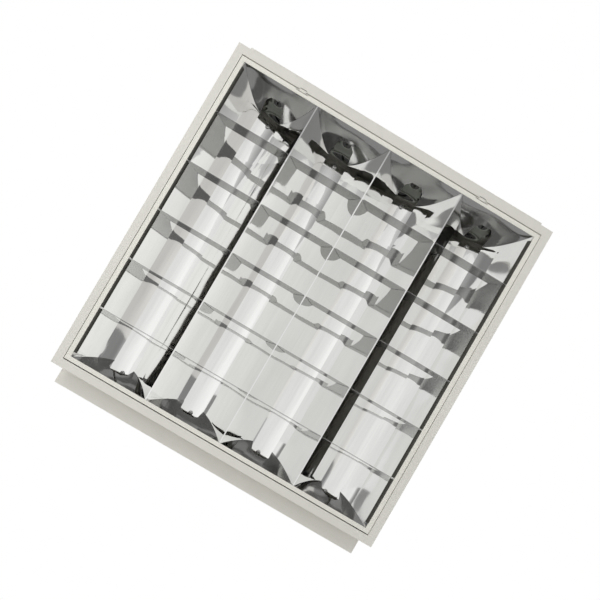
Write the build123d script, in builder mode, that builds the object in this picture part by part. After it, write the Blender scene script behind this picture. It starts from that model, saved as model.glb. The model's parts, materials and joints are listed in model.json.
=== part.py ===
"""Recessed ceiling luminaire for a 600 mm ceiling grid, with a hinged mirror louvre.

The part stands as installed: +Z points up into the ceiling void, the louvre faces -Z,
the lamps lie along Y, and the origin is the centre of the flange's underside, which is
the plane of the finished ceiling. All sizes are in millimetres.
"""
import math
import os

from build123d import *

os.makedirs("parts", exist_ok=True)

# Ceiling flange
flange_size = 595.0  # outer edge, one module of a 600 mm grid
flange_width = 14.0  # visible strip
flange_upstand = 18.0  # height of the fold round the opening
sheet = 0.8  # steel sheet of the housing, the flange and the louvre frame

# Housing
housing_width = flange_size - 15.0  # across the lamps
neck_length = flange_size - 15.0  # along the lamps, below the end pockets
pocket_length = neck_length + 76.0  # along the lamps, over the end pockets
pocket_floor = 38.0  # height of the pockets' floor over the ceiling
housing_height = 90.0
swage_x = 190.0  # each side of the middle
swage_width = 22.0
swage_length = 480.0
swage_height = 2.4
swage_taper = 40.0  # degrees

# Louvre
lanes = 4
mirror_opening = flange_size - 46.0  # clear opening inside the louvre frame
frame_strip = 8.0  # least visible width of the louvre frame
frame_upstand = 11.0
louvre_setback = 0.4  # the louvre sits this far above the ceiling plane
louvre_height = 50.0  # top edge of the side mirrors
mirror_sheet = 0.6  # anodised aluminium
rib_edge = 2.0  # folded near edge of a rib
lamp_slot = 39.0  # gap between the top edges of a lane's mirrors
flank_foot_turn = 11.5  # degrees from a mirror's chord to its curve, at the foot
flank_top_turn = 18.5  # and at the top edge
blade_count = 5
blade_height = 24.0
blade_sheet = 0.7
blade_notch = 2.0  # depth of the halving joint over a rib's near edge
running_gap = 0.3
outline_sides = 36  # flats that stand for a moulded round outline

# End plates of the louvre
plate_inset = 27.5  # how far a plate leans in between its rim and its top edge
plate_foot = 4.2
notch_floor = 23.0  # height of the lamp notch's floor
notch_shoulder = 30.0
notch_floor_width = 18.0
notch_shoulder_width = 33.0
notch_mouth_width = 37.6

# Lamps, lampholders and top reflectors
lamp_length = mirror_opening
lamp_axis = 44.6  # height of the lamp's centre line
holder_width = 36.0
holder_depth = 11.0
holder_shoulder = 53.0  # height where the holder's base narrows to its head
head_radius = 12.0
collar_radius = 10.5
collar_depth = 1.1
rotor_radius = 8.0
rotor_depth = 6.6
rotor_slot = 3.0
slot_depth = 5.0
contact_window = (1.0, 3.2)
contact_offset = 5.6
reflector_width = 46.0
reflector_crown = 64.8  # height of a reflector's highest line, over the lamp
reflector_sag = 4.1  # how much lower its edges are
reflector_sheet = 0.5

# Rails that carry the lampholders and the reflectors
rail_reach = 25.0  # each side of a lampholder's face

# Control gear and supply
supply_x = 95.0
ballast_size = (30.0, 340.0, 21.0)
ballast_foot = 12.0
foot_hole_radius = 2.2
terminal_size = (50.0, 20.0, 17.0)
terminal_setback = 60.0  # from the rail
terminal_poles = 5
pole_entry = 4.0  # square wire entry
entry_setback = 28.0
entry_radius = 10.0
grommet_lip = 3.0
grommet_bore_radius = 5.0
fixing_spacing_x = 460.0
fixing_spacing_y = 400.0
fixing_hole_radius = 3.5

# Hinge and latch of the louvre
hinge_x = 170.0  # each side of the middle
hinge_height = 1.5
hinge_pin_radius = 0.8
hook_width = 12.0
hook_sheet = 0.5
lug_width = 20.0
lug_sheet = 1.0
latch_x = 170.0
latch_width = 14.0
latch_sheet = 0.5
latch_height = 12.0

# Sizes that follow from those above
flange_opening = flange_size - 2 * flange_width
louvre_base = louvre_setback
frame_top = louvre_base + sheet
hinge_y = -(flange_opening / 2 - (hinge_height - louvre_base) - running_gap)
frame_width = mirror_opening + 2 * frame_strip
frame_length = 2 * (-hinge_y - running_gap)
lane_pitch = mirror_opening / lanes
lane_centres = [(i - (lanes - 1) / 2) * lane_pitch for i in range(lanes)]
rib_centres = [(i - lanes / 2) * lane_pitch for i in range(1, lanes)]
flank_foot = lane_pitch / 2 - rib_edge / 2
flank_top = lamp_slot / 2
blade_pitch = mirror_opening / (blade_count + 1)
blade_stations = [(i - (blade_count - 1) / 2) * blade_pitch for i in range(blade_count)]
blade_top = louvre_base + blade_height
holder_face = lamp_length / 2 + 0.5
reflector_radius = ((reflector_width / 2) ** 2 + reflector_sag**2) / (2 * reflector_sag)
reflector_drop = reflector_radius - math.sqrt(reflector_radius**2 - (reflector_width / 4) ** 2)
rail_height = reflector_crown + reflector_sheet
rail_inner = holder_face - rail_reach
rail_outer = holder_face + rail_reach
terminal_centre = (supply_x, rail_inner - terminal_setback)
entry_centre = (supply_x, rail_inner - entry_setback)
back_inner = housing_height - sheet
inner_width = housing_width - 2 * sheet

# A side mirror curves like a parabola round the lamp, in two arcs that meet parallel to its
# chord: a long one from the foot and a tighter one to the top edge
chord_lean = math.atan2(flank_foot - flank_top, louvre_height - louvre_base)
chord_length = math.hypot(flank_foot - flank_top, louvre_height - louvre_base)
foot_turn = math.radians(flank_foot_turn)
top_turn = math.radians(flank_top_turn)
turn_ratio = math.sin(foot_turn) / math.sin(top_turn)
foot_reach = chord_length / (1 + math.cos(foot_turn) + turn_ratio * (1 + math.cos(top_turn)))
foot_radius = foot_reach / math.tan(foot_turn / 2)
top_radius = foot_reach * turn_ratio / math.tan(top_turn / 2)


def step(point, distance, lean):
    """Point at a distance along a direction that leans from the lane's width towards +Z."""
    return (point[0] + distance * math.cos(lean), point[1] + distance * math.sin(lean))


def flank_curve(shift):
    """Points of a mirror's curve in a lane's own section, x from the lamp and z up, moved
    off the lane by shift: foot, long arc, meeting, tight arc, top edge."""
    low_centre = step((flank_foot, louvre_base), -foot_radius, chord_lean - foot_turn)
    meeting = step(low_centre, foot_radius, chord_lean)
    high_centre = step(meeting, -top_radius, chord_lean)
    return [
        step(low_centre, foot_radius + shift, chord_lean - foot_turn),
        step(low_centre, foot_radius + shift, chord_lean - foot_turn / 2),
        step(low_centre, foot_radius + shift, chord_lean),
        step(high_centre, top_radius + shift, chord_lean + top_turn / 2),
        step(high_centre, top_radius + shift, chord_lean + top_turn),
    ]


def flank_section(centre, side):
    """Section of one side mirror: its curve, the same curve one sheet further out, closed."""
    face = [(centre + side * x, z) for x, z in flank_curve(0)]
    back = [(centre + side * x, z) for x, z in flank_curve(mirror_sheet)]
    with BuildSketch() as section:
        with BuildLine():
            for curve in (face, back):
                ThreePointArc(*curve[:3])
                ThreePointArc(*curve[2:])
            Line(face[4], back[4])
            Line(back[0], face[0])
        make_face()
    return section.sketch


def lane_section(centre, spread):
    """Clear section between two facing mirrors, each moved sideways by spread, closed at
    the foot and at the top."""
    right = [(centre + x + spread, z) for x, z in flank_curve(0)]
    left = [(centre - x - spread, z) for x, z in flank_curve(0)]
    with BuildSketch() as section:
        with BuildLine():
            for curve in (right, left):
                ThreePointArc(*curve[:3])
                ThreePointArc(*curve[2:])
            Line(right[4], left[4])
            Line(left[0], right[0])
        make_face()
    return section.sketch


def save(part, name):
    """Label a finished piece and write it to its own file."""
    part.label = name
    export_step(part, f"parts/{name}.step")


# ---------------------------------------------------------------- housing, fixed body

# Back panel, with two pressed swages, the fixing holes and the cable entry
with BuildPart() as back_panel:
    with BuildSketch(Plane.XY.offset(back_inner)):
        Rectangle(inner_width, pocket_length)
    extrude(amount=sheet)
    with BuildSketch(Plane.XY.offset(housing_height)):
        with GridLocations(2 * swage_x, 0, 2, 1):
            Rectangle(swage_width, swage_length)
    extrude(amount=swage_height, taper=swage_taper)
    with BuildSketch(Plane.XY.offset(back_inner)):
        with GridLocations(2 * swage_x, 0, 2, 1):
            Rectangle(swage_width, swage_length)
    extrude(amount=swage_height, taper=swage_taper, mode=Mode.SUBTRACT)
    with BuildSketch(Plane.XY.offset(back_inner)):
        with GridLocations(fixing_spacing_x, fixing_spacing_y, 2, 2):
            Circle(fixing_hole_radius)
        with Locations(entry_centre):
            Circle(entry_radius)
    extrude(amount=sheet, mode=Mode.SUBTRACT)
save(back_panel.part, "back_panel")

# Side walls: neck and pocket height in one flat sheet each
for index, side in enumerate((-1, 1), start=1):
    with BuildPart() as side_wall:
        with BuildSketch(Plane.YZ.offset(side * (housing_width - sheet) / 2)):
            with Locations((0, (sheet + housing_height) / 2)):
                Rectangle(neck_length, housing_height - sheet)
            with Locations((0, (pocket_floor + housing_height) / 2)):
                Rectangle(pocket_length, housing_height - pocket_floor)
        extrude(amount=sheet / 2, both=True)
    save(side_wall.part, f"side_wall_{index}")

# End pieces: neck wall, pocket floor and pocket wall in one bent sheet
for index, side in enumerate((-1, 1), start=1):
    with BuildPart() as end_pocket:
        with BuildSketch(Plane.YZ):
            with BuildLine():
                Polyline(
                    (side * neck_length / 2, sheet),
                    (side * neck_length / 2, pocket_floor),
                    (side * pocket_length / 2, pocket_floor),
                    (side * pocket_length / 2, back_inner),
                    (side * (pocket_length / 2 - sheet), back_inner),
                    (side * (pocket_length / 2 - sheet), pocket_floor + sheet),
                    (side * (neck_length / 2 - sheet), pocket_floor + sheet),
                    (side * (neck_length / 2 - sheet), sheet),
                    close=True,
                )
            make_face()
        extrude(amount=inner_width / 2, both=True)
    save(end_pocket.part, f"end_pocket_{index}")

# Ceiling flange: a flat ring with a fold round the opening, notched under the hinge hooks
with BuildPart() as ceiling_flange:
    with BuildSketch():
        Rectangle(flange_size, flange_size)
        Rectangle(flange_opening, flange_opening, mode=Mode.SUBTRACT)
    extrude(amount=sheet)
    with BuildSketch(Plane.XY.offset(sheet)):
        Rectangle(flange_opening + 2 * sheet, flange_opening + 2 * sheet)
        Rectangle(flange_opening, flange_opening, mode=Mode.SUBTRACT)
    extrude(amount=flange_upstand - sheet)
    hem = ceiling_flange.edges().group_by(Axis.Z)[0].sort_by(SortBy.LENGTH)[-4:]
    chamfer(hem, sheet / 3)
    with BuildSketch():
        with Locations(
            *[(s * hinge_x, -flange_opening / 2 - sheet - hook_sheet / 2) for s in (-1, 1)]
        ):
            Rectangle(hook_width + 2 * running_gap, 2 * sheet + hook_sheet + 2 * running_gap)
    extrude(amount=sheet, mode=Mode.SUBTRACT)
save(ceiling_flange.part, "ceiling_flange")

# Hooks behind the flange's fold that carry the louvre's hinge pins
hook_back = -flange_opening / 2 - sheet
hook_leg = hinge_height - hinge_pin_radius - running_gap / 2
hook_lip = hinge_y + hinge_pin_radius + running_gap
for index, side in enumerate((-1, 1), start=1):
    with BuildPart() as hinge_hook:
        with BuildSketch(Plane.YZ.offset(side * hinge_x)):
            with BuildLine():
                Polyline(
                    (hook_back - hook_sheet, hook_leg - hook_sheet),
                    (hook_lip + hook_sheet, hook_leg - hook_sheet),
                    (hook_lip + hook_sheet, hinge_height),
                    (hook_lip, hinge_height),
                    (hook_lip, hook_leg),
                    (hook_back, hook_leg),
                    (hook_back, flange_upstand),
                    (hook_back - hook_sheet, flange_upstand),
                    close=True,
                )
            make_face()
        extrude(amount=hook_width / 2, both=True)
    save(hinge_hook.part, f"hinge_hook_{index}")

# Hat-section rails across the housing, over the lampholders
for index, side in enumerate((-1, 1), start=1):
    with BuildPart() as holder_rail:
        with BuildSketch(Plane.YZ):
            with BuildLine():
                Polyline(
                    (side * rail_inner, rail_height),
                    (side * rail_outer, rail_height),
                    (side * rail_outer, back_inner),
                    (side * (rail_outer - sheet), back_inner),
                    (side * (rail_outer - sheet), rail_height + sheet),
                    (side * (rail_inner + sheet), rail_height + sheet),
                    (side * (rail_inner + sheet), back_inner),
                    (side * rail_inner, back_inner),
                    close=True,
                )
            make_face()
        extrude(amount=inner_width / 2, both=True)
    save(holder_rail.part, f"holder_rail_{index}")

# Top reflectors: a shallow mirror arched over each lamp, in two halves of one arc that meet
# under the rails
for index, centre in enumerate(lane_centres, start=1):
    with BuildPart() as top_reflector:
        with BuildSketch(Plane.XZ):
            with BuildLine():
                for lift in (0, reflector_sheet):
                    edge_z = reflector_crown - reflector_sag + lift
                    mid_z = reflector_crown - reflector_drop + lift
                    for side in (-1, 1):
                        ThreePointArc(
                            (centre, reflector_crown + lift),
                            (centre + side * reflector_width / 4, mid_z),
                            (centre + side * reflector_width / 2, edge_z),
                        )
                for side in (-1, 1):
                    edge = centre + side * reflector_width / 2
                    Line((edge, edge_z - reflector_sheet), (edge, edge_z))
            make_face()
        extrude(amount=holder_face - running_gap, both=True)
    save(top_reflector.part, f"top_reflector_{index}")

# Lampholders: base block, rounded head, collar, rotor seat and pin slot open at the tip
holder_number = 0
for side in (-1, 1):
    for centre in lane_centres:
        holder_number += 1
        face_plane = Plane(
            (centre, side * holder_face, 0), x_dir=(-side, 0, 0), z_dir=(0, side, 0)
        )
        seat_depth = rotor_depth + running_gap - collar_depth
        with BuildPart() as lampholder:
            with BuildSketch(face_plane):
                with Locations((0, lamp_axis)):
                    RegularPolygon(head_radius, outline_sides)
                with Locations((0, (lamp_axis + holder_shoulder) / 2)):
                    Rectangle(2 * head_radius, holder_shoulder - lamp_axis)
                with Locations((0, (rail_height + holder_shoulder) / 2)):
                    Rectangle(holder_width, rail_height - holder_shoulder)
            extrude(amount=holder_depth)
            with BuildSketch(face_plane.offset(-collar_depth)):
                with Locations((0, lamp_axis)):
                    RegularPolygon(collar_radius, outline_sides)
            extrude(amount=collar_depth)
            with BuildSketch(face_plane.offset(-collar_depth)):
                with Locations((0, lamp_axis)):
                    Circle(rotor_radius + running_gap)
            extrude(amount=collar_depth + seat_depth, mode=Mode.SUBTRACT)
            with BuildSketch(face_plane.offset(-collar_depth)):
                with Locations((0, (lamp_axis - head_radius / 2))):
                    Rectangle(rotor_slot, head_radius)
            extrude(amount=collar_depth + slot_depth, mode=Mode.SUBTRACT)
        save(lampholder.part, f"lampholder_{holder_number}")

        # Rotor: a disc that turns in the holder's seat, with the pin slot across its face and
        # a contact window each side of the slot
        with BuildPart() as rotor:
            with BuildSketch(face_plane.offset(-collar_depth)):
                with Locations((0, lamp_axis)):
                    RegularPolygon(rotor_radius, outline_sides)
            extrude(amount=rotor_depth)
            with BuildSketch(face_plane.offset(-collar_depth)):
                with Locations((0, lamp_axis)):
                    Rectangle(rotor_slot, 3 * rotor_radius)
                    with GridLocations(2 * contact_offset, 0, 2, 1):
                        Rectangle(*contact_window)
            extrude(amount=slot_depth, mode=Mode.SUBTRACT)
        save(rotor.part, f"rotor_{holder_number}")

# Electronic control gear: a folded case on two feet, between the middle lanes
with BuildPart() as ballast:
    case_base = back_inner - ballast_size[2]
    with BuildSketch(Plane.XY.offset(case_base)):
        Rectangle(ballast_size[0], ballast_size[1])
    extrude(amount=ballast_size[2])
    chamfer(ballast.edges().filter_by(Axis.Y).group_by(Axis.Z)[0], ballast_size[0] / 10)
    with BuildSketch(Plane.XY.offset(back_inner - 2 * sheet)):
        Rectangle(ballast_size[0], ballast_size[1] + 2 * ballast_foot)
        with GridLocations(0, ballast_size[1] + ballast_foot, 1, 2):
            Circle(foot_hole_radius, mode=Mode.SUBTRACT)
    extrude(amount=2 * sheet)
save(ballast.part, "ballast")

# Supply terminal block under the back, with its row of wire entries
with BuildPart() as terminal_block:
    block_base = back_inner - terminal_size[2]
    pole_pitch = terminal_size[0] / terminal_poles
    with BuildSketch(Plane.XY.offset(block_base)):
        with Locations(terminal_centre):
            Rectangle(terminal_size[0], terminal_size[1])
    extrude(amount=terminal_size[2])
    with BuildSketch(Plane.XZ.offset(-(terminal_centre[1] + terminal_size[1] / 2))):
        with Locations((terminal_centre[0], back_inner - terminal_size[2] / 2)):
            with GridLocations(pole_pitch, 0, terminal_poles, 1):
                Rectangle(pole_entry, pole_entry)
    extrude(amount=terminal_size[1] / 2, mode=Mode.SUBTRACT)
save(terminal_block.part, "terminal_block")

# Rubber grommet in the cable entry, grooved over the sheet
with BuildPart() as cable_grommet:
    with BuildSketch(Plane.XY.offset(back_inner - grommet_lip / 2)):
        with Locations(entry_centre):
            RegularPolygon(entry_radius + grommet_lip, outline_sides)
    extrude(amount=grommet_lip / 2)
    with BuildSketch(Plane.XY.offset(back_inner)):
        with Locations(entry_centre):
            Circle(entry_radius)
    extrude(amount=sheet)
    with BuildSketch(Plane.XY.offset(housing_height)):
        with Locations(entry_centre):
            RegularPolygon(entry_radius + grommet_lip, outline_sides)
    extrude(amount=grommet_lip / 2)
    with BuildSketch(Plane.XY.offset(back_inner - grommet_lip / 2)):
        with Locations(entry_centre):
            Circle(grommet_bore_radius)
    extrude(amount=grommet_lip + sheet, mode=Mode.SUBTRACT)
save(cable_grommet.part, "cable_grommet")

# ---------------------------------------------------------------- louvre, hinged body

# Louvre frame: flat strip round the mirrors with a fold at its outer edge, notched at the
# hinge lugs so that the hooks clear it over the whole swing
lug_notch = lug_width + 2 * lug_sheet
lug_reach = hinge_pin_radius + 2 * running_gap + hook_sheet
with BuildPart() as louvre_frame:
    with BuildSketch(Plane.XY.offset(louvre_base)):
        Rectangle(frame_width, frame_length)
        Rectangle(mirror_opening, mirror_opening, mode=Mode.SUBTRACT)
    extrude(amount=sheet)
    with BuildSketch(Plane.XY.offset(frame_top)):
        Rectangle(frame_width, frame_length)
        Rectangle(frame_width - 2 * sheet, frame_length - 2 * sheet, mode=Mode.SUBTRACT)
    extrude(amount=frame_upstand - sheet)
    with BuildSketch(Plane.XY.offset(louvre_base)):
        with Locations(*[(s * hinge_x, hinge_y) for s in (-1, 1)]):
            Rectangle(lug_notch, 2 * (lug_reach + 2 * running_gap))
    extrude(amount=hinge_height + lug_reach + running_gap, mode=Mode.SUBTRACT)
save(louvre_frame.part, "louvre_frame")

# Hinge lugs: a plate inside the frame's fold, two ears and the pin between them
lug_base = louvre_base + hinge_height + lug_reach + running_gap
lug_inner = hinge_y + running_gap + sheet
lug_top = louvre_base + frame_upstand
for index, side in enumerate((-1, 1), start=1):
    with BuildPart() as hinge_lug:
        with BuildSketch(Plane.XZ.offset(-lug_inner)):
            with Locations((side * hinge_x, (lug_base + lug_top) / 2)):
                Rectangle(lug_width, lug_top - lug_base)
        extrude(amount=-lug_sheet)
        for ear in (-1, 1):
            ear_x = side * hinge_x + ear * (lug_width / 2 - lug_sheet / 2)
            with BuildSketch(Plane.YZ.offset(ear_x)):
                with Locations((hinge_y, hinge_height)):
                    Circle(hinge_pin_radius)
                with BuildLine():
                    Polyline(
                        (hinge_y, hinge_height - hinge_pin_radius),
                        (lug_inner + lug_sheet, hinge_height - hinge_pin_radius),
                        (lug_inner + lug_sheet, lug_top),
                        (lug_inner, lug_top),
                        (lug_inner, lug_base),
                        (hinge_y, hinge_height + hinge_pin_radius),
                        close=True,
                    )
                make_face()
            extrude(amount=lug_sheet / 2, both=True)
        with BuildSketch(Plane.YZ.offset(side * hinge_x)):
            with Locations((hinge_y, hinge_height)):
                Circle(hinge_pin_radius)
        extrude(amount=lug_width / 2, both=True)
    save(hinge_lug.part, f"hinge_lug_{index}")

# Ribs: two curved mirrors that meet in a folded near edge, slotted for the cross blades
slot_gap = blade_sheet + 2 * running_gap
for index, centre in enumerate(rib_centres, start=1):
    with BuildPart() as rib:
        with BuildSketch(Plane.XZ):
            add(flank_section(centre + lane_pitch / 2, -1))
            add(flank_section(centre - lane_pitch / 2, 1))
            with Locations((centre, louvre_base + mirror_sheet / 2)):
                Rectangle(rib_edge, mirror_sheet)
        extrude(amount=mirror_opening / 2 - running_gap, both=True)
        with BuildSketch(Plane.XY.offset(louvre_base + blade_notch)):
            with Locations(*[(centre, y) for y in blade_stations]):
                Rectangle(lane_pitch, slot_gap)
        extrude(amount=blade_height - blade_notch + running_gap, mode=Mode.SUBTRACT)
    save(rib.part, f"rib_{index}")

# Side mirrors: half a rib each, with a foot on the louvre frame
for index, side in enumerate((-1, 1), start=1):
    with BuildPart() as side_mirror:
        with BuildSketch(Plane.XZ):
            add(flank_section(side * (mirror_opening - lane_pitch) / 2, side))
            foot_centre = side * (mirror_opening + plate_foot - rib_edge / 2) / 2
            with Locations((foot_centre, frame_top + mirror_sheet / 2)):
                Rectangle(plate_foot + rib_edge / 2, mirror_sheet)
        extrude(amount=mirror_opening / 2 - running_gap, both=True)
    save(side_mirror.part, f"side_mirror_{index}")

# End plates: a sloping mirror that closes each lane's end, notched for the lamp
plate_clear = mirror_sheet / 2
plate_rim = mirror_opening / 2
plate_number = 0
for side in (-1, 1):
    for centre in lane_centres:
        plate_number += 1
        with BuildPart() as end_plate:
            with BuildSketch(Plane.XZ):
                add(lane_section(centre, -plate_clear))
                with BuildLine():
                    Polyline(
                        (centre - notch_floor_width / 2, notch_floor),
                        (centre + notch_floor_width / 2, notch_floor),
                        (centre + notch_shoulder_width / 2, notch_shoulder),
                        (centre + notch_mouth_width / 2, louvre_height),
                        (centre - notch_mouth_width / 2, louvre_height),
                        (centre - notch_shoulder_width / 2, notch_shoulder),
                        close=True,
                    )
                make_face(mode=Mode.SUBTRACT)
            extrude(amount=plate_rim + plate_foot, both=True)
            with BuildSketch(Plane.YZ.offset(centre)):
                with BuildLine():
                    Polyline(
                        (side * plate_rim, frame_top),
                        (side * (plate_rim + plate_foot), frame_top),
                        (side * (plate_rim + plate_foot), frame_top + mirror_sheet),
                        (side * (plate_rim + mirror_sheet / 2), frame_top + mirror_sheet),
                        (side * (plate_rim - plate_inset + mirror_sheet), louvre_height),
                        (side * (plate_rim - plate_inset), louvre_height),
                        close=True,
                    )
                make_face()
            extrude(amount=lane_pitch / 2, both=True, mode=Mode.INTERSECT)
        save(end_plate.part, f"end_plate_{plate_number}")

# Cross blades: flat strips through the ribs' slots, halved over the ribs' near edges
for index, station in enumerate(blade_stations, start=1):
    with BuildPart() as cross_blade:
        with BuildSketch(Plane.XZ.offset(-station)):
            outer_lane = (mirror_opening - lane_pitch) / 2
            add(lane_section(0, outer_lane - running_gap))
            with Locations((0, louvre_base + blade_height / 2)):
                Rectangle(mirror_opening, blade_height, mode=Mode.INTERSECT)
            with Locations(*[(x, louvre_base) for x in rib_centres]):
                Rectangle(
                    rib_edge + 2 * (blade_notch + running_gap),
                    2 * (blade_notch + running_gap),
                    mode=Mode.SUBTRACT,
                )
        extrude(amount=blade_sheet / 2, both=True)
    save(cross_blade.part, f"cross_blade_{index}")

# Latch springs: leaves on the louvre frame's fold that bear on the flange's fold
latch_foot = frame_length / 2 - sheet
latch_crest = flange_opening / 2 - running_gap - latch_sheet
latch_low = louvre_base + frame_upstand
for index, side in enumerate((-1, 1), start=1):
    with BuildPart() as latch_spring:
        with BuildSketch(Plane.YZ.offset(side * latch_x)):
            leaf = [
                (latch_foot, frame_top + sheet),
                (latch_foot, latch_low + sheet),
                (latch_crest, latch_low + latch_height / 2),
                (latch_foot - 2 * sheet, latch_low + latch_height),
            ]
            with BuildLine():
                Polyline(*leaf, *[(y - latch_sheet, z) for y, z in reversed(leaf)], close=True)
            make_face()
        extrude(amount=latch_width / 2, both=True)
    save(latch_spring.part, f"latch_spring_{index}")
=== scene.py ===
import json
import math

import bmesh
import bpy
from mathutils import Matrix, Vector


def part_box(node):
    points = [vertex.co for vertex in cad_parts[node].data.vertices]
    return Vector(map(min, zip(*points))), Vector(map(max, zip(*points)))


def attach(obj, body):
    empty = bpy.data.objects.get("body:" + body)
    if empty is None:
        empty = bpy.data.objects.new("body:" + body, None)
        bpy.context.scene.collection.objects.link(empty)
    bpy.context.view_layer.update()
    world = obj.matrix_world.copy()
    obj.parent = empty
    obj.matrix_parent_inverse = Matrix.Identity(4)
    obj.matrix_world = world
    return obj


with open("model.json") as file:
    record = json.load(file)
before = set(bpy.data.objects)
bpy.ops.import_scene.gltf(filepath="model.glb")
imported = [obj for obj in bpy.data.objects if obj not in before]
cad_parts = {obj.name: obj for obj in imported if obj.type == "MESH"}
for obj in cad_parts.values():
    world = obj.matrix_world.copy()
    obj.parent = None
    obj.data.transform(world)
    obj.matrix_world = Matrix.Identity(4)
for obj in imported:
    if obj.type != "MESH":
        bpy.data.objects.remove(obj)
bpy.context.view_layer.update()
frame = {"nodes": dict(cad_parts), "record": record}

# X runs across the lanes, +Y to the latch end and +Z up into the ceiling, with the room side
# at Z = 0. Everything is in metres, apart from what says mm.
NODES = frame["nodes"]
SLOTS = {part["node"]: part["material_slot"] for part in frame["record"]["subparts"]}

LANES = 4
MIRROR_OPENING = 0.549
LANE_PITCH = MIRROR_OPENING / LANES
LANE_X = [(i - (LANES - 1) / 2) * LANE_PITCH for i in range(LANES)]
HOLDERS = 8
BLADES = 5
SIDE_X = 290  # mm, outer face of a side wall
BACK_Z = 90  # mm, outer face of the back panel
UP, DOWN = (0, 0, 1), (0, 0, -1)
SHARP_ANGLE = 38.0  # degrees, where two faces of a small part stop blending

# Camera, found from the flange's corners
SENSOR_WIDTH = 36.0  # mm
LENS = 26.1  # mm
CAMERA_SHIFT = (0.1005, 0.1748)
CAMERA_RIGHT = (0.86301, -0.50458, -0.02473)
CAMERA_BACK = (-0.02196, 0.01143, -0.99969)
CAMERA_PLACE = (-0.01817, 0.21348, -0.69903)

# Stage
WORLD_FILL = 0.55  # strength of the world as a light; it is 1 where it is seen
FLOOR_HALF = 12.0
FLOOR_Z = -1.7
FLOOR_GLOW = 0.57
CIRCLE_STEPS = 48
FLAG_RADIUS = 1.6
FLAG_BOTTOM = -0.16
FLAG_TOP = 0.02
SCREEN_RADIUS = 1.15
SCREEN_BOTTOM = -1.66
SCREEN_TOP = -0.05
SCREEN_STEPS = 24
CARD_FADE = (-0.9, 0.1)  # X where the card's left glow ends and its right glow starts
UNEVEN_SCALE = 2.5
UNEVEN = (0.9, 1.1)
LIGHT_TARGET = (0, 0, 0.05)


# ---------------------------------------------------------------- common

def add_object(name, data):
    obj = bpy.data.objects.new(name, data)
    bpy.context.scene.collection.objects.link(obj)
    return obj


def mesh_from(name, bm):
    """Mesh made from a bmesh, which is used up."""
    mesh = bpy.data.meshes.new(name)
    bm.to_mesh(mesh)
    bm.free()
    return mesh


def skin(bm, rows, closed=False):
    """Quads between neighbouring rows of vertices."""
    for near, far in zip(rows, rows[1:]):
        for k in range(len(near) if closed else len(near) - 1):
            m = (k + 1) % len(near)
            bm.faces.new((near[k], near[m], far[m], far[k]))


def mm(x, y, z):
    return Vector((x, y, z)) / 1000


# ---------------------------------------------------------------- camera

def make_camera():
    data = bpy.data.cameras.new("camera")
    data.sensor_width = SENSOR_WIDTH
    data.lens = LENS
    data.shift_x, data.shift_y = CAMERA_SHIFT
    data.clip_start = 0.01
    data.clip_end = 100.0
    camera = add_object("camera", data)
    right = Vector(CAMERA_RIGHT).normalized()
    back = Vector(CAMERA_BACK).normalized()
    up = back.cross(right).normalized()
    right = up.cross(back).normalized()
    turn = Matrix((right, up, back)).transposed().to_4x4()
    camera.matrix_world = Matrix.Translation(CAMERA_PLACE) @ turn
    bpy.context.scene.camera = camera


# ---------------------------------------------------------------- node trees

class Tree:
    """Short hand for building the node tree of a material or a world."""

    def __init__(self, owner, output="ShaderNodeOutputMaterial"):
        owner.use_nodes = True
        self.owner = owner
        self.nodes = owner.node_tree.nodes
        self.links = owner.node_tree.links
        self.nodes.clear()
        self.output = self.node(output)

    def node(self, kind, inputs=None, operation=None):
        """New node, with its inputs set to values or linked to sockets."""
        node = self.nodes.new(kind)
        if operation:
            node.operation = operation
        for key, value in (inputs or {}).items():
            if isinstance(value, bpy.types.NodeSocket):
                self.links.new(value, node.inputs[key])
            else:
                node.inputs[key].default_value = value
        return node

    def finish(self, shader):
        self.links.new(shader, self.output.inputs["Surface"])
        return self.owner

    def place(self):
        return self.node("ShaderNodeTexCoord").outputs["Object"]

    def along(self, axis):
        """How far along an axis of the object a point lies."""
        return self.node("ShaderNodeSeparateXYZ", {0: self.place()}).outputs[axis]

    def stretch(self, scale):
        return self.node("ShaderNodeMapping", {"Vector": self.place(), "Scale": scale}).outputs[0]

    def noise(self, scale, detail=2.0, roughness=0.5, vector=None, distortion=0.0):
        return self.node("ShaderNodeTexNoise", {
            "Vector": vector or self.place(), "Scale": scale, "Detail": detail,
            "Roughness": roughness, "Distortion": distortion,
        }).outputs["Fac"]

    def remap(self, value, low, high, start=0.3, end=0.7):
        return self.node("ShaderNodeMapRange", {
            "Value": value, "From Min": start, "From Max": end, "To Min": low, "To Max": high,
        }).outputs[0]

    def maths(self, operation, *values):
        return self.node("ShaderNodeMath", dict(enumerate(values)), operation).outputs[0]

    def ramp(self, value, *stops):
        node = self.node("ShaderNodeValToRGB", {"Fac": value})
        for element, (position, colour) in zip(node.color_ramp.elements, stops):
            element.position = position
            element.color = (*colour, 1.0)
        return node.outputs["Color"]

    def bump(self, height, distance, normal=None):
        inputs = {"Height": height, "Distance": distance, "Strength": 1.0}
        if normal is not None:
            inputs["Normal"] = normal
        return self.node("ShaderNodeBump", inputs).outputs[0]

    def glow(self, strength, colour=(1.0, 1.0, 1.0)):
        inputs = {"Color": (*colour, 1.0), "Strength": strength}
        return self.node("ShaderNodeEmission", inputs).outputs[0]

    def principled(self, colour, roughness, normal, metallic):
        shader = self.node("ShaderNodeBsdfPrincipled", {
            "Base Color": colour, "Roughness": roughness, "Normal": normal,
            "Metallic": metallic, "Specular IOR Level": 0.5,
        })
        return self.finish(shader.outputs[0])

    def seen(self):
        """1 for camera, glossy and transmission rays, else 0."""
        path = self.node("ShaderNodeLightPath").outputs
        first = self.maths("MAXIMUM", path["Is Camera Ray"], path["Is Glossy Ray"])
        return self.maths("MAXIMUM", first, path["Is Transmission Ray"])


# ---------------------------------------------------------------- materials

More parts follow.
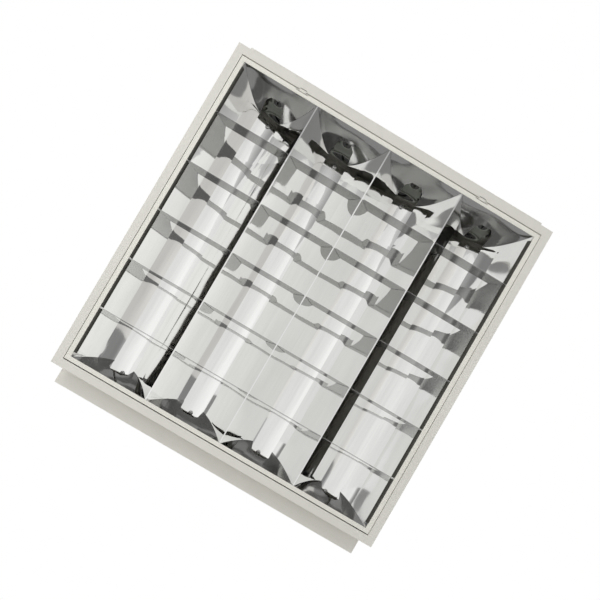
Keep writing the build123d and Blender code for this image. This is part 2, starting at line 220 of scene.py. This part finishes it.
def lin(r, g, b):
    """Linear colour of an 8-bit display colour."""
    return tuple((c / 255 / 12.92) if c <= 10 else ((c / 255 + 0.055) / 1.055) ** 2.4
                 for c in (r, g, b))


def painted(name, light, dark, roughness):
    """Powder-coated sheet: slight tint drift, orange-peel skin and fine grit."""
    t = Tree(bpy.data.materials.new(name))
    colour = t.ramp(t.noise(6.0, 3.0, 0.6), (0.3, dark), (0.7, light))
    rough = t.remap(t.noise(90.0), roughness - 0.06, roughness + 0.06)
    peel = t.bump(t.noise(420.0, 2.0, 0.6), 0.00004)
    grit = t.bump(t.noise(2400.0, 1.0), 0.00002, peel)
    return t.principled(colour, rough, grit, 0.0)


def mirror(name, light, dark, roughness, wave, buckle):
    """Anodised sheet: rolling marks along Y, a slightly uneven polish, a faint waviness and
    a stronger one towards the ends, where the sheet is held."""
    t = Tree(bpy.data.materials.new(name))
    streaks = t.noise(1.0, 3.0, 0.6, t.stretch((900.0, 9.0, 900.0)))
    colour = t.ramp(streaks, (0.3, dark), (0.7, light))
    rough = t.remap(streaks, roughness * 0.7, roughness * 1.3)
    waves = t.bump(t.noise(11.0, 1.0, 0.4), wave)
    ends = t.remap(t.maths("ABSOLUTE", t.along("Y")), 0.0, 1.0, 0.17, 0.27)
    buckles = t.maths("MULTIPLY", t.noise(14.0, 0.0, 0.4), ends)
    return t.principled(colour, rough, t.bump(buckles, buckle, waves), 1.0)


def brushed(name, light, dark, roughness):
    """Strip with fine brushing along X and a soft, even sheen."""
    t = Tree(bpy.data.materials.new(name))
    streaks = t.noise(1.0, 3.0, 0.6, t.stretch((8.0, 900.0, 1400.0)))
    colour = t.ramp(streaks, (0.3, dark), (0.7, light))
    rough = t.remap(streaks, roughness * 0.8, roughness * 1.2)
    return t.principled(colour, rough, t.bump(streaks, 0.000004), 1.0)


def moulded(name, light, dark, roughness):
    """Moulded plastic: fine spark-eroded grain and slight flow marks."""
    t = Tree(bpy.data.materials.new(name))
    colour = t.ramp(t.noise(60.0, 3.0, 0.6), (0.3, dark), (0.7, light))
    rough = t.remap(t.noise(300.0), roughness - 0.08, roughness + 0.08)
    return t.principled(colour, rough, t.bump(t.noise(3000.0), 0.00004), 0.0)


def plated(name, light, dark, roughness):
    """Zinc-plated sheet: soft spangle and stains."""
    t = Tree(bpy.data.materials.new(name))
    spangle = t.noise(120.0, 4.0, 0.65, distortion=0.6)
    colour = t.ramp(spangle, (0.3, dark), (0.7, light))
    rough = t.remap(t.noise(35.0, 3.0), roughness - 0.08, roughness + 0.1)
    return t.principled(colour, rough, t.bump(spangle, 0.00003), 1.0)


def make_materials():
    """Materials by slot: light and dark tone, roughness and, for mirrors, the waviness."""
    return {
        "white_steel": painted(
            "ivory_coat", lin(233, 231, 223), lin(228, 226, 218), 0.42),
        "frame_steel": painted(
            "white_coat", lin(243, 241, 232), lin(238, 236, 227), 0.38),
        "zinc_steel": plated(
            "zinc", lin(222, 223, 224), lin(198, 199, 201), 0.4),
        "mirror_aluminium": mirror(
            "mirror_sheet", (0.92, 0.92, 0.91), (0.88, 0.88, 0.87), 0.045, 0.0009, 0.0035),
        "bright_aluminium": mirror(
            "bright_sheet", (0.94, 0.94, 0.93), (0.90, 0.90, 0.89), 0.06, 0.0009, 0.0035),
        "end_plate_sheet": mirror(
            "end_plate_sheet", (0.95, 0.95, 0.94), (0.88, 0.88, 0.87), 0.08, 0.0012, 0.008),
        "blade_aluminium": brushed(
            "blade_sheet", (0.43, 0.43, 0.42), (0.37, 0.37, 0.365), 0.2),
        "brass": plated(
            "brass", (0.80, 0.62, 0.30), (0.68, 0.50, 0.22), 0.28),
        "screw_steel": plated(
            "screw_steel", lin(200, 200, 198), lin(160, 160, 158), 0.3),
        "holder_plastic": moulded(
            "holder_plastic", lin(176, 180, 169), lin(165, 169, 158), 0.38),
        "rotor_plastic": moulded(
            "rotor_plastic", lin(70, 72, 70), lin(58, 60, 58), 0.4),
        "rim_plastic": moulded(
            "rim_plastic", lin(214, 216, 208), lin(204, 206, 198), 0.35),
        # Dark strips along the louvre frame's long inner edges: painted shade, shaped as foam
        # seals.
        "shade_strip_dark": moulded(
            "shade_strip_dark", lin(74, 73, 67), lin(60, 59, 54), 0.75),
        "gear_case": plated(
            "gear_case", lin(205, 206, 204), lin(184, 185, 184), 0.3),
        "terminal_plastic": moulded(
            "terminal_plastic", lin(235, 234, 228), lin(226, 225, 219), 0.4),
        "grommet_rubber": moulded(
            "grommet_rubber", lin(48, 48, 50), lin(38, 38, 40), 0.7),
    }


def dress_nodes():
    """Gives each CAD node the material of its slot. The hinge's hooks and lugs are painted
    with the steel that they are cut from, and the end plates have a sheet of their own."""
    for name, obj in NODES.items():
        slot = SLOTS[name]
        if name.startswith(("hinge_hook", "hinge_lug")):
            slot = "white_steel"
        elif name.startswith("end_plate"):
            slot = "end_plate_sheet"
        if not obj.material_slots:
            obj.data.materials.append(MATERIALS[slot])
        for material_slot in obj.material_slots:
            material_slot.material = MATERIALS[slot]


# ---------------------------------------------------------------- stage and light

def make_world():
    world = bpy.data.worlds.new("studio")
    bpy.context.scene.world = world
    t = Tree(world, "ShaderNodeOutputWorld")
    strength = t.remap(t.seen(), WORLD_FILL, 1.0, 0.0, 1.0)
    background = t.node("ShaderNodeBackground", {
        "Color": (1.0, 1.0, 1.0, 1.0), "Strength": strength})
    t.finish(background.outputs[0])


def make_floor():
    mesh = bpy.data.meshes.new("floor")
    corners = [(x * FLOOR_HALF, y * FLOOR_HALF, FLOOR_Z)
               for x, y in ((-1, -1), (1, -1), (1, 1), (-1, 1))]
    mesh.from_pydata(corners, [], [(0, 1, 2, 3)])
    floor = add_object("floor", mesh)
    t = Tree(bpy.data.materials.new("floor_paper"))
    diffuse = t.node("ShaderNodeBsdfDiffuse", {"Color": (0.8, 0.8, 0.79, 1.0)}).outputs[0]
    glow = t.glow(t.maths("MULTIPLY", t.seen(), FLOOR_GLOW))
    both = t.node("ShaderNodeAddShader", {0: diffuse, 1: glow})
    mesh.materials.append(t.finish(both.outputs[0]))


def arc(radius, height, start, end, steps):
    """Points on an arc about Z, from one bearing to another, in degrees."""
    angles = [math.radians(start + (end - start) * i / steps) for i in range(steps + 1)]
    return [(radius * math.cos(a), radius * math.sin(a), height) for a in angles]


def show_in_mirrors(name, bm, colour, start, end, low, high, axis="Z"):
    """Puts a glowing sheet on the stage that only mirrors see, its glow going from low at
    start to high at end along an axis, with slight unevenness."""
    mesh = mesh_from(name, bm)
    sheet = add_object(name, mesh)
    t = Tree(bpy.data.materials.new(name))
    level = t.remap(t.along(axis), low, high, start, end)
    uneven = t.remap(t.noise(UNEVEN_SCALE), *UNEVEN, 0.0, 1.0)
    glow = t.glow(t.maths("MULTIPLY", level, uneven), colour)
    mesh.materials.append(t.finish(glow))
    sheet.visible_camera = False
    sheet.visible_diffuse = False
    sheet.visible_shadow = False
    sheet.visible_transmission = False


def make_flags():
    """Dark ring round the horizon."""
    bm = bmesh.new()
    skin(bm, [[bm.verts.new(point) for point in arc(FLAG_RADIUS, z, 0, 360, CIRCLE_STEPS)[:-1]]
              for z in (FLAG_TOP, FLAG_BOTTOM)], closed=True)
    show_in_mirrors("flag_ring", bm, (1.0, 1.0, 1.05), FLAG_BOTTOM, FLAG_TOP, 0.075, 0.055)


def make_card(left, right):
    """Round card under the object, with another glow on its left than on its right."""
    bm = bmesh.new()
    rim = arc(SCREEN_RADIUS, SCREEN_BOTTOM, 0, 360, CIRCLE_STEPS)[:-1]
    bm.faces.new([bm.verts.new(point) for point in rim])
    show_in_mirrors("card_below", bm, (1.0, 1.0, 0.99), *CARD_FADE, left, right, "X")


def make_screen(name, start, end, low, high, colour, change=(SCREEN_BOTTOM, -0.75)):
    """Curved screen from one bearing to another, in degrees, its glow going from low to
    high between the two heights of change."""
    bm = bmesh.new()
    skin(bm, [[bm.verts.new(point) for point in arc(SCREEN_RADIUS, z, start, end, SCREEN_STEPS)]
              for z in (SCREEN_BOTTOM, SCREEN_TOP)])
    show_in_mirrors(name, bm, colour, *change, low, high)


def make_light(name, place, size, power):
    data = bpy.data.lights.new(name, "AREA")
    data.shape = "SQUARE"
    data.size = size
    data.energy = power
    light = add_object(name, data)
    light.location = place
    light.rotation_mode = "QUATERNION"
    light.rotation_quaternion = (Vector(LIGHT_TARGET) - Vector(place)).to_track_quat("-Z", "Y")
    light.visible_glossy = False
    light.visible_camera = False


# ---------------------------------------------------------------- forms of small parts, in mm

def frame_of(direction):
    """A direction's unit vector and two unit vectors across it."""
    axis = Vector(direction).normalized()
    side = Vector((1, 0, 0)) if abs(axis.x) < 0.9 else Vector((0, 1, 0))
    across = (side - side.dot(axis) * axis).normalized()
    return axis, across, axis.cross(across)


def turned(bm, place, direction, profile, steps=24):
    """Turns (radius, height) points about a direction from a place in metres."""
    axis, u, v = frame_of(direction)
    angles = [2 * math.pi * i / steps for i in range(steps)]
    rings = []
    for radius, height in profile:
        centre = place + axis * height / 1000
        if radius == 0:
            rings.append([bm.verts.new(centre)])
        else:
            rings.append([
                bm.verts.new(centre + (u * math.cos(a) + v * math.sin(a)) * radius / 1000)
                for a in angles])
    for low, high in zip(rings, rings[1:]):
        if len(high) > 1:
            skin(bm, (low, high), closed=True)
            continue
        for i in range(steps):
            bm.faces.new((low[i], low[(i + 1) % steps], high[0]))
    return rings


def cross_screw(bm, place, direction, radius, height, washer=0.0):
    """Pan head with a cross recess, and a washer under it if one is wanted."""
    axis, u, v = frame_of(direction)
    base = 0.0
    if washer:
        base = 0.9
        turned(bm, place, direction, [
            (washer, 0), (washer, 0.7), (washer - 0.3, base), (radius * 0.6, base)])
    head = turned(bm, place, direction, [
        (radius * 0.94, base), (radius, base + height * 0.25),
        (radius * 0.98, base + height * 0.5), (radius * 0.88, base + height * 0.85),
        (radius * 0.66, base + height)])
    arm, half = radius * 0.52, radius * 0.13
    outline = [(arm, -half), (arm, half), (half, half), (half, arm), (-half, arm), (-half, half),
               (-arm, half), (-arm, -half), (-half, -half), (-half, -arm), (half, -arm),
               (half, -half)]

    def cross(scale, level):
        return [bm.verts.new(place + (axis * level + (u * a + v * b) * scale) / 1000)
                for a, b in outline]

    rim, floor = cross(1.0, base + height), cross(0.7, base + height * 0.35)
    edges = []
    for loop in (head[-1], rim):
        for pair in zip(loop, loop[1:] + loop[:1]):
            edges.append(bm.edges.get(pair) or bm.edges.new(pair))
    bmesh.ops.triangle_fill(bm, use_beauty=True, edges=edges)
    skin(bm, (rim, floor), closed=True)
    bm.faces.new(floor)


def slot_screw(bm, place, direction, radius, height):
    """Cheese head with a straight slot, as in a terminal."""
    axis, u, v = frame_of(direction)

    def point(a, b, level):
        return bm.verts.new(place + (axis * level + u * a + v * b) / 1000)

    steps = 12
    half = radius * 0.16
    start = math.asin(half / radius)
    angles = [start + (math.pi - 2 * start) * i / steps for i in range(steps + 1)]
    for sign in (-1, 1):
        low, high = ([point(r * math.cos(angle), max(half, r * math.sin(angle)) * sign, level)
                      for angle in angles]
                     for r, level in ((radius, 0.0), (radius * 0.93, height)))
        skin(bm, (low, high), closed=True)
        bm.faces.new(high)
    bm.faces.new([point(a, b, height * 0.35) for a, b in (
        (-radius, -half), (radius, -half), (radius, half), (-radius, half))])


def rivet(bm, place, direction, radius=3.2, height=1.2):
    """Blind rivet: domed flange and the broken pin in its middle."""
    turned(bm, place, direction, [
        (radius, 0), (radius * 0.97, height * 0.3), (radius * 0.72, height * 0.85),
        (radius * 0.45, height), (radius * 0.36, height), (radius * 0.34, height * 0.5),
        (radius * 0.24, height * 0.55), (0, height * 0.62)])


def weld_mark(bm, place, direction, radius=2.6):
    """Print of a spot welder's tip: a shallow raised ring round a flat."""
    turned(bm, place, direction, [
        (radius, 0), (radius * 0.93, 0.12), (radius * 0.78, 0.14), (radius * 0.66, 0.05),
        (0, 0.04)], 20)


def knock_out(bm, place, direction, radius=10.0):
    """Half-sheared disc for a cable entry, with its punch mark."""
    turned(bm, place, direction, [
        (radius, 0), (radius, 0.35), (radius - 0.25, 0.5), (radius * 0.3, 0.5),
        (radius * 0.24, 0.3), (0, 0.25)], 36)


def entry_block(bm, centre, size, count, out):
    """Moulded block, in metres, with a row of square wire entries in the face towards out
    (+1 or -1 in Y)."""
    def row(points):
        return [bm.verts.new(point) for point in points]

    half = Vector(size) / 2
    pitch = size[0] / count
    hole = min(pitch, size[2]) * 0.3
    bevel = min(half.z, half.y) * 0.18
    front, back = centre.y + out * half.y, centre.y - out * half.y
    x0, x1 = centre.x - half.x, centre.x + half.x
    z0, z1 = centre.z - half.z, centre.z + half.z
    middle = (z0 + z1) / 2
    for i in range(count):
        left, right = x0 + i * pitch, x0 + (i + 1) * pitch
        outer = row([(left, front, z0 + bevel), (right, front, z0 + bevel),
                     (right, front, z1), (left, front, z1)])
        inner, deep = (
            row([((left + right) / 2 + a * h, y, middle + b * h)
                 for a, b in ((-1, -1), (1, -1), (1, 1), (-1, 1))])
            for h, y in ((hole, front), (hole * 0.8, front - out * half.y)))
        skin(bm, (outer, inner, deep), closed=True)
        bm.faces.new(deep)
    section = [(front, z0 + bevel), (front - out * bevel, z0), (back, z0), (back, z1),
               (front, z1)]
    near, far = (row([(x, y, z) for y, z in section]) for x in (x0, x1))
    skin(bm, (near, far))
    bm.faces.new(near)
    bm.faces.new(far)


# ---------------------------------------------------------------- small parts

def piece(name, build, slot, body):
    """Builds one named piece from a function that fills a bmesh."""
    bm = bmesh.new()
    build(bm)
    bmesh.ops.remove_doubles(bm, verts=bm.verts, dist=1e-7)
    bmesh.ops.recalc_face_normals(bm, faces=bm.faces)
    mesh = mesh_from(name, bm)
    for polygon in mesh.polygons:
        polygon.use_smooth = True
    mesh.set_sharp_from_angle(angle=math.radians(SHARP_ANGLE))
    mesh.materials.append(MATERIALS[slot])
    obj = add_object(name, mesh)
    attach(obj, body)


def make_reflector_screws():
    reflector_sheet = 0.0005
    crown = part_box("top_reflector_1")[1].z - reflector_sheet
    for number, x in enumerate(LANE_X, start=1):
        for end, y in (("lower", 0.260), ("upper", -0.242)):
            piece(f"reflector_screw_{number}_{end}",
                  lambda bm: cross_screw(bm, Vector((x, y, crown)), DOWN, 4.0, 2.3),
                  "screw_steel", "housing")


def back_rivets(bm):
    """Along the end walls' folds, then along the side walls' folds."""
    end_y, side_x = 321, 284
    for y in (-end_y, end_y):
        for x in (-240, -144, -48, 48, 144, 240):
            rivet(bm, mm(x, y, BACK_Z), UP)
    for x in (-side_x, side_x):
        for y in (-264, -132, 0, 132, 264):
            rivet(bm, mm(x, y, BACK_Z), UP)


def side_rivets(bm):
    """Two through each side wall into each end of the lampholders' rails."""
    height = 77
    for sign in (-1, 1):
        for y in (-262, 262, -288, 288):
            rivet(bm, mm(sign * SIDE_X, y, height), (sign, 0, 0))


def weld_marks(bm):
    """Over the rails' edges on the back, clear of its two pressed swages, then round the
    end pockets and along the folds on the sides."""
    rail_edges = (-299.6, -250.4, 250.4, 299.6)
    pocket_ends, pocket_heights = (-322, -294, 294, 322), (48, 62)
    fold_heights = (9, 80)
    swage_x, swage_reach = 190, 14
    for x in range(-260, 261, 65):
        if abs(abs(x) - swage_x) > swage_reach:
            for y in rail_edges:
                weld_mark(bm, mm(x, y, BACK_Z), UP)
    for sign in (-1, 1):
        for ys, zs in ((pocket_ends, pocket_heights), (range(-240, 241, 80), fold_heights)):
            for y in ys:
                for z in zs:
                    weld_mark(bm, mm(sign * SIDE_X, y, z), (sign, 0, 0))


def knock_outs(bm):
    """Four in the back and two in each side."""
    side_y, side_z = 130, 46
    for x, y in ((-95, 222), (-95, -222), (95, -222), (0, 222)):
        knock_out(bm, mm(x, y, BACK_Z), UP)
    for sign in (-1, 1):
        for y in (-side_y, side_y):
            knock_out(bm, mm(sign * SIDE_X, y, side_z), (sign, 0, 0))


def gear_screws(bm):
    """One through each foot of the ballast."""
    foot_y, foot_z = 176, 87.6
    for y in (-foot_y, foot_y):
        cross_screw(bm, mm(0, y, foot_z), DOWN, 3.6, 2.0)


def make_gear_terminals():
    """A terminal strip under each end of the ballast's case."""
    size, entries, y = (0.026, 0.014, 0.007), 5, 0.159
    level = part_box("ballast")[0].z - size[2] / 2
    for end, sign in (("lower", 1), ("upper", -1)):
        piece(f"gear_terminals_{end}",
              lambda bm: entry_block(bm, Vector((0, sign * y, level)), size, entries, sign),
              "terminal_plastic", "housing")


def terminal_poles():
    """Middle of each pole on the terminal block's lower face."""
    poles, first_x, pitch, y = 5, 0.075, 0.010, 0.185
    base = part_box("terminal_block")[0].z
    return [Vector((first_x + i * pitch, y, base)) for i in range(poles)]


def terminal_wells(bm):
    for pole in terminal_poles():
        turned(bm, pole, DOWN,
               [(3.6, 0), (3.5, 1.4), (3.2, 1.6), (2.7, 1.6), (2.6, 0.3), (0, 0.3)])


def terminal_screws(bm):
    well_floor = mm(0, 0, -0.3)
    for pole in terminal_poles():
        slot_screw(bm, pole + well_floor, DOWN, 2.3, 1.0)


def earth_screw(bm):
    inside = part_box("back_panel")[0].z
    cross_screw(bm, Vector((0.045, 0.205, inside)), DOWN, 4.0, 2.4, 6.0)


def make_rotor_trim(number):
    """Two sprung contacts in a rotor's windows, and the open rim round it."""
    low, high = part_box(f"rotor_{number}")
    side = -1 if low.y < 0 else 1
    front = high.y if side < 0 else low.y
    x, z = (low.x + high.x) / 2, (low.z + high.z) / 2

    def contacts(bm):
        steps, offset, half_width, length = 6, 0.0056, 0.00042, 0.0028
        for sign in (-1, 1):
            rows = []
            for k in range(steps + 1):
                t = k / steps
                deep = 0.0008 + 0.0012 * (2 * t - 1) ** 2
                rows.append([
                    bm.verts.new((x + sign * offset + a, front + side * deep,
                                  z + (t - 0.5) * length))
                    for a in (-half_width, half_width)])
            skin(bm, rows)
    piece(f"contacts_{number}", contacts, "brass", f"lamp_rotor_{number}")

    def rim(bm):
        first, sweep, steps = -72, 324, 36  # degrees; the gap is the slot for the pins
        profile = ((0.00835, 0.0), (0.00845, 0.0004), (0.0089, 0.00055), (0.0096, 0.0004),
                   (0.0098, 0.0))  # radius and height
        rows = []
        for i in range(steps + 1):
            angle = math.radians(first + sweep * i / steps)
            rows.append([
                bm.verts.new((x + r * math.cos(angle), front - side * level,
                              z + r * math.sin(angle)))
                for r, level in profile])
        skin(bm, rows)
        bm.faces.new(rows[0])
        bm.faces.new(rows[-1])
    piece(f"rotor_rim_{number}", rim, "rim_plastic", "housing")


def side_shade_strips(bm):
    """Dark strips, shaped as foam seals, along the louvre frame's two long inner edges, stopped
    at each blade. They are painted shade: a dark sheet put where there is only shade.
    """
    outline = [(274.3, 0.38), (273.4, 0.12), (272.0, 0.5), (270.6, 2.6), (270.0, 5.0),
               (270.4, 5.3), (273.3, 1.85)]
    reach, gap = 266.0, 1.0
    stops = [-reach]
    for number in range(1, BLADES + 1):
        low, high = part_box(f"cross_blade_{number}")
        stops += [low.y * 1000 - gap, high.y * 1000 + gap]
    stops = sorted(stops + [reach])
    for sign in (-1, 1):
        for ends in zip(stops[::2], stops[1::2]):
            near, far = ([bm.verts.new(mm(sign * x, y, z)) for x, z in outline] for y in ends)
            skin(bm, (near, far), closed=True)
            bm.faces.new(near)
            bm.faces.new(far)


def make_small_parts():
    make_reflector_screws()
    piece("back_rivets", back_rivets, "screw_steel", "housing")
    piece("side_rivets", side_rivets, "screw_steel", "housing")
    piece("weld_marks", weld_marks, "white_steel", "housing")
    piece("knock_outs", knock_outs, "white_steel", "housing")
    piece("gear_screws", gear_screws, "screw_steel", "housing")
    make_gear_terminals()
    piece("terminal_wells", terminal_wells, "terminal_plastic", "housing")
    piece("terminal_screws", terminal_screws, "brass", "housing")
    piece("earth_screw", earth_screw, "brass", "housing")
    for number in range(1, HOLDERS + 1):
        make_rotor_trim(number)
    # Dark strips of painted shade along the louvre frame's two long inner edges.
    piece("side_shade_strips", side_shade_strips, "shade_strip_dark", "louvre")


# ---------------------------------------------------------------- assembly

make_camera()
make_world()
make_floor()
make_flags()
make_card(0.98, 0.77)
make_screen("screen_back", -138, -62, 0.6, 0.22, (1.0, 1.0, 1.0))
make_screen("screen_right", -62, 6, 0.78, 0.58, (1.0, 0.985, 0.95))
make_screen("screen_front", 6, 150, 0.6, 0.23, (1.0, 1.0, 1.0), (SCREEN_BOTTOM, -1.25))
make_screen("screen_left", 150, 171, 0.84, 0.25, (1.0, 1.0, 0.99), (-0.72, -0.6))
make_screen("screen_bright", 171, 222, 0.86, 0.76, (1.0, 1.0, 0.99))
make_light("key_below", (-1.0, -0.9, -1.4), 0.8, 6.0)
make_light("fill_below", (-0.9, 0.2, -1.45), 1.0, 4.0)
make_light("key_above", (0.9, -1.0, 1.9), 1.6, 30.0)
make_light("fill_above", (-1.3, 0.9, 1.5), 1.6, 16.0)

MATERIALS = make_materials()
dress_nodes()
make_small_parts()

bpy.context.scene.view_settings.view_transform = "Standard"
